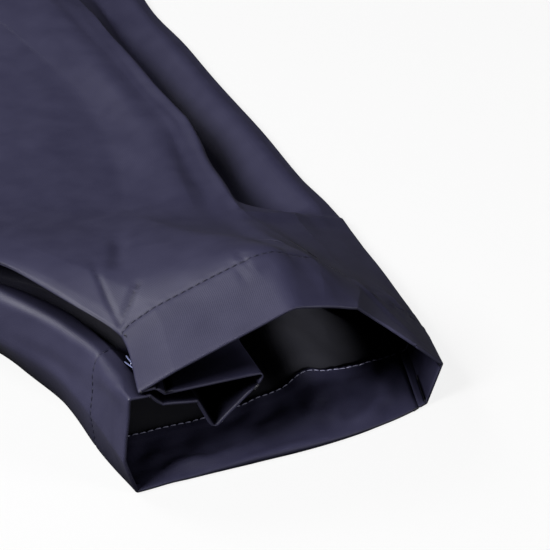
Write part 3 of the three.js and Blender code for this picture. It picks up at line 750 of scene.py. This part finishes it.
# Above the hem's stitches the lip is a soft roll, and the top curls down to it.
from_lip = right_front.across - right_front.across[:, [right_front.fold["lip"]]]
curl = window(up, 34, 46, 100, 150)
lift -= 0.7 * curl * (from_lip < 0) * np.clip(1 - np.abs(from_lip) / 5.5, 0, 1) ** 1.6
right_front.lift = lift
right_front_panel = finish_sheet(right_front, "right_front_cloth", seed=21)
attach(right_front_panel, "root")
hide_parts("right_front_panel", "right_hem_front", "right_hem_tuck", "right_waist_front")


# ---------------------------------------------------------------------------------------------------------
# Right back panel: the same cloth under the propped leg. It lies on the table, rises at the inseam as the
# hem's side wall, folds over the brim and goes down into the tuck, where the inseam joins it to the front.

RIGHT_BACK_ACROSS = {"dip": (3, 6), "ledge": (6, 4), "step": (6, 4), "flap": (3, 4), "brim": (5, 7),
                     "bend": (12, 3), "foot": (8, 6), "rise": (16, 1), "swell": (18, 1), "seam_out": (16, 0)}
right_back = lay_sheet(propped_lines, BACK_PATH, RIGHT_BACK_ACROSS, FINE_ROWS, 1,
                       (("seam_in", 38), ("flap", 38), ("brim", 35.5), ("bend", 31), ("foot", 31),
                        ("rise", 29.5), ("swell", 35), ("seam_out", 33)))
x, up, z = right_back.x, right_back.up, right_back.z
lift = np.zeros_like(x)
under = between_folds(right_back, "foot", "seam_out")
wall = between_folds(right_back, "brim", "foot")
# The side wall's soft ridge from the brim down to the stitches, and its slack folds.
lift += wall * crease(z, up, ((45, 2, 0.2), (41, 14, 0.7), (38, 26, 0.8), (34, 34, 0.5), (28, 44, 0)),
                      5, 6, 0.2)
lift += wall * crease(z, up, ((26, 40, 0), (24, 52, -0.8), (22, 74, -0.8), (20, 96, 0)), 7, 7, 0.1)
# Behind the hem the under side stands up off the table in one soft fold.
lift -= under * crease(x, up, ((84, 30, 2), (82, 42, 7), (80, 60, 11), (80, 84, 12), (82, 104, 7),
                               (84, 130, 0)), 9, 26, 0.15)
# Inside the tuck the bar tack pinches the layers almost shut.
lift += 7 * between_folds(right_back, "ledge", "step") * window(up, 8, 14, 20, 28)
right_back.lift = lift + slack_and_sewing(right_back, 31, 0.45, 0.12, 0.38)
# The turned-up layer is slack: it stands off the under side in low ridges between troughs.
standing = creases(x, up, (
    (((12, 6, 0.2), (22, 8, 2.0), (34, 7, 2.6), (46, 9, 2.2), (60, 14, 0.3)), 7, 6),
    (((24, 1, 0.2), (44, 2, 1.4), (66, 2.5, 1.6), (90, 1, 0.6)), 5, 7),
    (((40, 24, 0.3), (54, 19, 1.3), (68, 17, 1.6), (80, 19, 1.6), (92, 25, 0.6)), 9, 8),
    (((90, 3, 0.2), (101, 7, 2.2), (110, 13, 2.0), (118, 24, 0.3)), 6, 7)), 0.35)
standing += 0.35 * unevenness(right_back.across, up, 8, 22, 35) * smooth_step(up, 3, 9)
right_back_panel = finish_sheet(right_back, "right_back_cloth", seed=41, inner_lift=-under * standing)
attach(right_back_panel, "root")
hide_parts("right_back_panel", "right_hem_back", "right_waist_back")


# ---------------------------------------------------------------------------------------------------------
# Left front panel: cut as the right one, mirrored. This leg lies flatter, its inseam folded in low between
# the front and the back, so the sheet follows its own fold lines and has its own creases.

FLATTER_UP = (0, 34, 80, 140, 200, 260, 330, 400, 470)
FLATTER = {
    "heel": ((165, 0), (164, 0), (159, 0), (153.5, 0), (149.5, 0), (147.5, 0), (146.5, 0), (147.5, 0),
             (148.5, 0)),
    "edge": ((168, 8), (167, 7), (162, 5), (156, 4), (152, 4), (150, 4), (149, 4), (150, 4), (151, 4)),
    "shelf": ((150, 16), (149, 14), (146, 12), (142, 12), (138, 13), (136, 12), (135, 11), (135, 10),
              (136, 11)),
    "valley": ((122, 25), (122, 22), (124, 17), (122, 11), (118, 8), (116, 7), (114, 10), (120, 14),
               (121, 16)),
    "ridge": ((92, 31), (94, 29), (100, 24), (102, 20), (104, 20), (101, 21), (94, 20), (92, 19), (96, 20)),
    "crown": ((40, 30), (40, 31), (38, 28), (36, 26), (36, 24), (40, 21), (38, 20), (34, 22), (34, 24)),
    "lip": ((-38, 17), (-41, 17), (-46, 18), (-53, 18), (-59, 17), (-63, 16), (-67, 15), (-69, 14),
            (-71, 12)),
    "tip": ((-47, 12.5), (-49, 12.5), (-53, 13), (-59.5, 13), (-65, 12), (-68.5, 12), (-71, 11),
            (-72.5, 10.5), (-74, 8.5)),
    "dip": ((-49.5, 9.5), (-51.5, 9.5), (-55.5, 10), (-62, 10), (-67, 9), (-70.5, 9), (-73, 8.5), (-73.5, 8),
            (-75, 6.5)),
    "brim": ((-50.5, 6.5), (-52.5, 6.5), (-56.5, 7), (-62.5, 7), (-67.5, 6), (-71, 6), (-73, 5.5),
             (-73.5, 5.5), (-75, 4.5)),
    "bend": ((-50, 3.5), (-52, 3.5), (-56, 3.5), (-62, 3.5), (-67, 3), (-70.5, 3), (-72.5, 3), (-73, 2.8),
             (-74.5, 2.4)),
    "foot": ((-47, 0), (-49, 0), (-53, 0), (-59, 0), (-64, 0), (-67.5, 0), (-69.5, 0), (-71, 0), (-72, 0)),
    "rise": ((30, 0), (30, 1), (28, 1), (26, 0)) + ((24, 0),) * 5,
    "swell": ((95, 0), (94, 1.5), (92, 1), (90, 0)) + ((88, 0),) * 5,
}
FLATTER_STEPS = {
    "shoulder": ("crown", "ridge", ((0.55, 1.2),) * 9), "slope": ("crown", "lip", ((0.72, 1.5),) * 9),
    "notch_top": ("lip", "tip", ((0.22, 0),) * 9), "notch": ("lip", "tip", ((0.36, 0),) * 9),
    "ledge": ("dip", "brim", ((0.3, 0),) * 9), "step": ("dip", "brim", ((0.55, 0),) * 9),
    "flap": ("dip", "brim", ((0.75, 0),) * 9),
}
flatter_lines = fold_lines(FLATTER_UP, FLATTER, FLATTER_STEPS)
LEFT_ROWS = span((0, 0.7, 0.7), (0.7, 33, 1.6), (33, 35, 0.5), (35, 140, 2.1), (140, 330, 3.4),
                 (330, 640, 6.2), (640, 704, 4), (704, 740, 2.8))
LEFT_FRONT_ACROSS = {"heel": (2, 4), "edge": (6, 5), "shelf": (7, 3), "valley": (8, 3), "ridge": (8, 4),
                     "shoulder": (7, 3), "crown": (8, 3), "slope": (30, 3), "lip": (13, 6),
                     "notch_top": (1, 3), "notch": (1, 3), "tip": (2, 5), "seam_in": (2, 0)}
left_front = lay_sheet(flatter_lines, FRONT_PATH, LEFT_FRONT_ACROSS, LEFT_ROWS, -1,
                       (("seam_out", 33), ("edge", 32), ("ridge", 34), ("crown", 35), ("slope", 35.5),
                        ("lip", 34), ("seam_in", 34)))
x, up = left_front.x, left_front.up
lift = np.zeros_like(x)
# Pinched lines that fan out from the hem's stitches beside the inseam, and one soft trough above them.
lift += crease(x, up, ((-34, 33, 0.4), (-33, 48, 0.9), (-29, 70, 0.7), (-26, 92, 0)), 8, 6, 0.85)
lift += crease(x, up, ((-26, 34, -0.3), (-21, 44, -0.9), (-14, 56, -1.0), (-5, 70, 0)), 5, 2.2, 0.6)
lift += crease(x, up, ((-24, 70, 0), (-18, 88, -0.9), (-8, 112, -0.7), (0, 136, 0)), 6, 6, 0)
# Drag lines across the knee from the outer ridge to the inseam.
lift += crease(x, up, ((96, 196, 0.2), (66, 188, 0.9), (30, 176, 1.0), (-8, 168, 0.4), (-34, 166, 0)),
               9, 5, 0.5)
lift += crease(x, up, ((88, 268, 0), (52, 262, -0.9), (12, 264, -0.8), (-22, 274, 0)), 8, 10, 0.1)
lift += crease(x, up, ((70, 330, 0), (34, 342, 0.8), (-4, 350, 0.6), (-30, 352, 0)), 10, 6, 0.4)
# The long ridge, a soft band beside it, and a crisp step where the cloth folds over at the outseam.
lift += crease(x, up, ((97, 60, 0.2), (101, 120, 0.6), (103, 200, 0.6), (98, 290, 0.4), (94, 380, 0)),
               3.4, 2.4, 0.8)
lift += crease(x, up, ((80, 70, 0), (82, 130, -0.7), (80, 210, -0.8), (76, 300, 0)), 10, 8, 0)
lift += crease(x, up, ((104, 84, 0.2), (124, 88, 1.0), (142, 90, 1.1), (158, 92, 0.3)), 5, 4, 0.9)
# Slack at the crown of the hem, and crumples at the stitches of the outer side.
lift += upright_puckers(left_front, ((30, 22, 42, 0.6), (37, 26, 52, 0.8), (44, 18, 40, 0.7),
                                     (66, 24, 44, 0.5)), 2.4, 2)
lift += crumples_at_stitches(left_front, 0.35, 5, 54, (118, 130, 158, 166), (16, 28, 40, 60))
# Slack folds over the thigh and the seat, not the same as the other leg's.
lift += creases(x, up, (
    (((-62, 512, 0), (-36, 536, 1.0), (0, 562, 1.4), (52, 590, 1.1), (98, 610, 0)), 18, 10),
    (((-64, 486, 0), (-24, 484, -1.1), (22, 488, -1.5), (76, 504, 0)), 14, 15),
    (((-66, 452, 0), (-34, 440, 1.0), (14, 428, 1.3), (60, 410, 0.7), (90, 396, 0)), 8, 16),
    (((22, 702, 0), (36, 660, 1.2), (44, 622, 1.0), (48, 584, 0)), 8, 13),
    (((76, 700, 0), (90, 668, 1.1), (104, 634, 1.0), (110, 596, 0)), 12, 8),
    (((-42, 700, 0), (-30, 664, 1.0), (-20, 634, 0)), 8, 11)), 0.25)
lift = lift * between_folds(left_front, "edge", "lip")
left_front.lift = lift + slack_and_sewing(left_front, 61, 0.6, 0.14, 0.42)
left_front_panel = finish_sheet(left_front, "left_front_cloth", seed=65)
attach(left_front_panel, "root")
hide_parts("left_front_panel", "left_hem_front", "left_waist_front")


# ---------------------------------------------------------------------------------------------------------
# Left back panel: the same cloth, cut as the right one and mirrored. It lies flat on the table between the
# two folded edges, and is sewn to the left front at the inseam and the outseam.

LEFT_BACK_ACROSS = {"dip": (2, 5), "ledge": (1, 3), "step": (1, 3), "flap": (1, 3), "brim": (2, 6),
                    "bend": (4, 3), "foot": (4, 5), "rise": (22, 1), "swell": (22, 1), "seam_out": (18, 0)}
left_back = lay_sheet(flatter_lines, BACK_PATH, LEFT_BACK_ACROSS, LEFT_ROWS, -1,
                      (("seam_in", 34), ("brim", 34.5), ("bend", 33), ("foot", 32), ("rise", 30.5),
                       ("swell", 34), ("seam_out", 33)))
x, up = left_back.x, left_back.up
under = between_folds(left_back, "foot", "seam_out")
lift = -under * crease(x, up, ((72, 24, 1), (70, 42, 3.4), (66, 60, 3), (62, 90, 0)), 14, 14, 0)
left_back.lift = lift + slack_and_sewing(left_back, 81, 0.45, 0.12, 0.38)
standing = creases(x, up, (
    (((-20, 12, 0.2), (4, 9, 1.7), (26, 15, 1.9), (44, 24, 0.3)), 9, 6),
    (((10, 1, 0.2), (40, 2, 1.3), (80, 2, 1.5), (112, 1, 0.4)), 5, 7),
    (((84, 8, 0.2), (104, 13, 1.8), (124, 22, 1.7), (136, 31, 0.4)), 9, 6)), 0.35)
standing += 0.35 * unevenness(left_back.across, up, 8, 22, 85) * smooth_step(up, 3, 9)
left_back_panel = finish_sheet(left_back, "left_back_cloth", seed=91, inner_lift=-under * standing)
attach(left_back_panel, "root")
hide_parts("left_back_panel", "left_hem_back", "left_waist_back")


# ---------------------------------------------------------------------------------------------------------
# Stitches: one row of polyester lockstitch round each hem and one round the casing, with navy thread on the
# outside and bobbin thread on the turned-in layer, drawn pale as a painted highlight. Each stitch dips into
# the cloth at both ends.

STITCH_PITCH = 3.1
STITCH_LENGTH = 2.6
THREAD_RADIUS = 0.22
BOBBIN_RADIUS = 0.27
# Each ring of a stitch: its share of the length, its rise off the cloth and its share of the full radius.
STITCH_RINGS = ((0, -0.16, 0.5), (0.14, 0.06, 0.95), (0.5, 0.15, 1.05), (0.86, 0.06, 0.95), (1, -0.16, 0.5))
THREAD_SIDES = 5
THREAD_TWIST = 0.35 * MM


def polyester_thread(name, colour, roughness):
    """Twisted polyester thread: matt with a faint highlight where it is spun, shiny where it is trilobal."""
    material = bpy.data.materials.new(name)
    material.use_nodes = True
    shader = material.node_tree.nodes["Principled BSDF"]
    place = add_node(material, "TexCoord", {}, {})
    twist = add_node(material, "TexNoise", {},
                     {"Vector": (place, "Object"), "Scale": 1 / THREAD_TWIST, "Detail": 2.0})
    bump = add_node(material, "Bump", {},
                    {"Height": (twist, "Fac"), "Strength": 0.6, "Distance": 0.05 * MM})
    material.node_tree.links.new(bump.outputs["Normal"], shader.inputs["Normal"])
    shader.inputs["Base Color"].default_value = linear(colour)
    shader.inputs["Roughness"].default_value = roughness
    return material


def stitch(start, end, outside, radius, points, faces):
    """Adds one stitch between two points of the cloth, as rings of thread round its middle line."""
    along = end - start
    along = along / max(np.linalg.norm(along), 1e-9)
    sideways = np.cross(along, outside)
    sideways = sideways / max(np.linalg.norm(sideways), 1e-9)
    outside = np.cross(sideways, along)
    first = len(points)
    for share, rise, width in STITCH_RINGS:
        centre = start + (end - start) * share + outside * rise
        for k in range(THREAD_SIDES):
            angle = 2 * math.pi * k / THREAD_SIDES
            spoke = sideways * math.cos(angle) + outside * math.sin(angle)
            points.append(centre + spoke * radius * width)
    for ring in range(len(STITCH_RINGS) - 1):
        for k in range(THREAD_SIDES):
            a = first + ring * THREAD_SIDES + k
            b = first + ring * THREAD_SIDES + (k + 1) % THREAD_SIDES
            faces.append((a, b, b + THREAD_SIDES, a + THREAD_SIDES))
    last = first + (len(STITCH_RINGS) - 1) * THREAD_SIDES
    faces.append(tuple(first + k for k in reversed(range(THREAD_SIDES))))
    faces.append(tuple(last + k for k in range(THREAD_SIDES)))


def stitch_row(line, outside, seed, radius, points, faces):
    """Sews along a row of the cloth's points. outside is the cloth's direction at each of them."""
    random = np.random.default_rng(seed)
    steps = np.linalg.norm(np.diff(line, axis=0), axis=1)
    length = np.concatenate([[0], np.cumsum(steps)])
    place = 1.2
    while place + STITCH_LENGTH < length[-1] - 0.6:
        ends = place, place + STITCH_LENGTH * random.uniform(0.94, 1.03)
        spots = [np.array([np.interp(end, length, line[:, axis]) for axis in range(3)]) for end in ends]
        middle = int(np.searchsorted(length, place + 0.5 * STITCH_LENGTH))
        stitch(spots[0], spots[1], outside[min(middle, len(outside) - 1)], radius, points, faces)
        place += STITCH_PITCH * random.uniform(0.97, 1.03)


def join_stitches(name, rows, material, radius):
    """Sews the rows, each a (line, outside), and makes them one piece."""
    points, faces = [], []
    for seed, (line, outside) in enumerate(rows):
        stitch_row(line, outside, seed, radius, points, faces)
    piece = add_piece(name, points, faces, material)
    bpy.ops.object.shade_smooth()
    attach(piece, "root")


def hem_and_casing(sheets):
    """The outside rows and the inside rows of stitches of one leg."""
    outside, inside = [], []
    for sheet in sheets:
        hem_row = nearest_row(sheet, HEM)
        casing_row = nearest_row(sheet, WAIST - CASING)
        # Stitches between the layers of the tuck don't show and are left out.
        seen = slice(sheet.fold["flap"] - 3, None) if sheet.back else slice(0, sheet.fold["lip"] + 2)
        outside.append((sheet.skin[sheet.first_outer + hem_row, seen], sheet.normal[hem_row, seen]))
        outside.append((sheet.skin[sheet.first_outer + casing_row], sheet.normal[casing_row]))
        seen = slice(sheet.fold["brim"] + 3, None) if sheet.back else slice(0, sheet.fold["lip"] - 4)
        inside.append((sheet.skin[sheet.hem_inside, seen], -sheet.normal[hem_row, seen]))
        inside.append((sheet.skin[sheet.casing_inside], -sheet.normal[casing_row]))
    return outside, inside


SEWING_THREAD = polyester_thread("spun_polyester_thread", "#15152a", 0.6)
# The bobbin thread's pale colour is a painted highlight for the lit inner stitches.
PAINTED_HIGHLIGHT_BOBBIN_THREAD = polyester_thread("bobbin_thread_painted_highlight", "#80809a", 0.45)
for side_name, sheets in (("right", (right_front, right_back)), ("left", (left_front, left_back))):
    outside_rows, inside_rows = hem_and_casing(sheets)
    join_stitches(side_name + "_outer_stitches", outside_rows, SEWING_THREAD, THREAD_RADIUS)
    join_stitches(side_name + "_inner_stitches", inside_rows, PAINTED_HIGHLIGHT_BOBBIN_THREAD, BOBBIN_RADIUS)


# ---------------------------------------------------------------------------------------------------------
# Bar tack: a short bar of shiny trilobal polyester that catches the tuck's two lips together at the inseam,
# just inside the hem. Its strands come out at the lip and slant into the gap, towards the brim.

TACK_START = 15
TACK_PITCH = 1.5
TACK_STRANDS = 5
TACK_SLANT = 6
TACK_RADIUS = 1.2 * THREAD_RADIUS
TACK_OUTSIDE = np.array([-0.6, -0.3, 0.7])
TACK_THREAD = polyester_thread("trilobal_polyester_thread", "#6d7396", 0.2)
tack_points, tack_faces = [], []
lip_line = right_front.skin[right_front.first_outer:][:, right_front.fold["lip"] + 1]
roll = right_back.skin[right_back.first_outer:][:, right_back.fold["flap"]:right_back.fold["brim"]]
for strand in range(TACK_STRANDS):
    distance = TACK_START + TACK_PITCH * strand
    start = lip_line[nearest_row(right_front, distance)]
    # The strands slant up and down the leg by turns, and one in three reaches over half-way to the brim.
    end_row = nearest_row(right_front, distance + TACK_SLANT * (1 if strand % 2 else -0.3))
    near = roll[end_row][np.argmin(np.linalg.norm(roll[end_row] - start, axis=1))]
    end = lip_line[end_row] + (near - lip_line[end_row]) * (0.55 if strand % 3 == 1 else 0.3)
    stitch(start, end, TACK_OUTSIDE, TACK_RADIUS, tack_points, tack_faces)
bar_tack = add_piece("bar_tack", tack_points, tack_faces, TACK_THREAD)
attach(bar_tack, "root")


# ---------------------------------------------------------------------------------------------------------
# Stage: a plain white board for a floor, three soft boxes, a snooted lamp and the camera, which looks down
# at the propped leg's open hem from close by.

bpy.ops.object.select_all(action="DESELECT")
bpy.ops.mesh.primitive_plane_add(size=8, location=(0, 0, -0.3 * MM))
floor = bpy.context.object
floor.name = "floor"
floor_paint = bpy.data.materials.new("matt_white_board")
floor_paint.use_nodes = True
floor_shader = floor_paint.node_tree.nodes["Principled BSDF"]
floor_shader.inputs["Base Color"].default_value = linear("#505050")
floor_shader.inputs["Roughness"].default_value = 0.95
floor_shader.inputs["Specular IOR Level"].default_value = 0.1
floor_shader.inputs["Emission Color"].default_value = linear("#ffffff")
floor_shader.inputs["Emission Strength"].default_value = 0.85
floor.data.materials.append(floor_paint)
# The board is lit from below, as a light table is. Its glow whitens it and leaves the cloth's shade alone.
board_only = bpy.data.collections.new("board_only")
board_only.objects.link(floor)
floor.light_linking.receiver_collection = board_only

hem_corner = Vector((CENTRE_LINE_X + TOE_X, hem_line_y, 0)) * MM


def set_up(name, data, place, direction):
    """Adds a lamp or a camera at a place, looking in a direction."""
    item = bpy.data.objects.new(name, data)
    bpy.context.scene.collection.objects.link(item)
    item.location = place
    item.rotation_mode = "QUATERNION"
    item.rotation_quaternion = direction.to_track_quat("-Z", "Y")
    return item


def soft_box(name, offset, power):
    """A soft square light, placed from the hem's inner corner and turned to it."""
    data = bpy.data.lights.new(name, "AREA")
    data.size = 0.5
    data.energy = power
    set_up(name, data, hem_corner + Vector(offset), -Vector(offset))


soft_box("key", (-1.045, -0.38, 1.15), 38)
soft_box("back", (-0.8, 0.8, 1.13), 11)
soft_box("front", (1.15, -0.85, 0.6), 7)
# A small snooted lamp reaches into the opened leg and shows the cloth behind the hem.
snoot = bpy.data.lights.new("snoot", "SPOT")
snoot.energy = 90
snoot.spot_size = math.radians(1.6)
snoot.spot_blend = 0.6
snoot.shadow_soft_size = 0.008
inside_leg = hem_corner + Vector((89, 77, 5)) * MM
snoot_place = inside_leg + Vector((0.2, -1.1, 0.5))
set_up("snoot", snoot, snoot_place, inside_leg - snoot_place)
world = bpy.data.worlds.new("studio")
bpy.context.scene.world = world
world.use_nodes = True
world.node_tree.nodes["Background"].inputs["Color"].default_value = linear("#ffffff")
world.node_tree.nodes["Background"].inputs["Strength"].default_value = 0.02
bpy.context.scene.view_settings.view_transform = "Standard"

CAMERA_ELEVATION = math.radians(36)
CAMERA_AZIMUTH = math.radians(-16)
CAMERA_DISTANCE = 0.7513  # back from the hem's inner corner, then to the right of it and above it in the view
CAMERA_RIGHT = 0.0525
CAMERA_ABOVE = 0.0831
ahead = Vector((-math.sin(CAMERA_AZIMUTH) * math.cos(CAMERA_ELEVATION),
                math.cos(CAMERA_AZIMUTH) * math.cos(CAMERA_ELEVATION), -math.sin(CAMERA_ELEVATION)))
rightward = ahead.cross(Vector((0, 0, 1))).normalized()
above = rightward.cross(ahead)
camera_data = bpy.data.cameras.new("camera")
camera_data.lens = 130.1
camera_data.sensor_width = 36
camera_data.clip_start = 0.02
camera_data.clip_end = 20
camera_place = hem_corner - CAMERA_DISTANCE * ahead + CAMERA_RIGHT * rightward + CAMERA_ABOVE * above
bpy.context.scene.camera = set_up("camera", camera_data, camera_place, ahead)
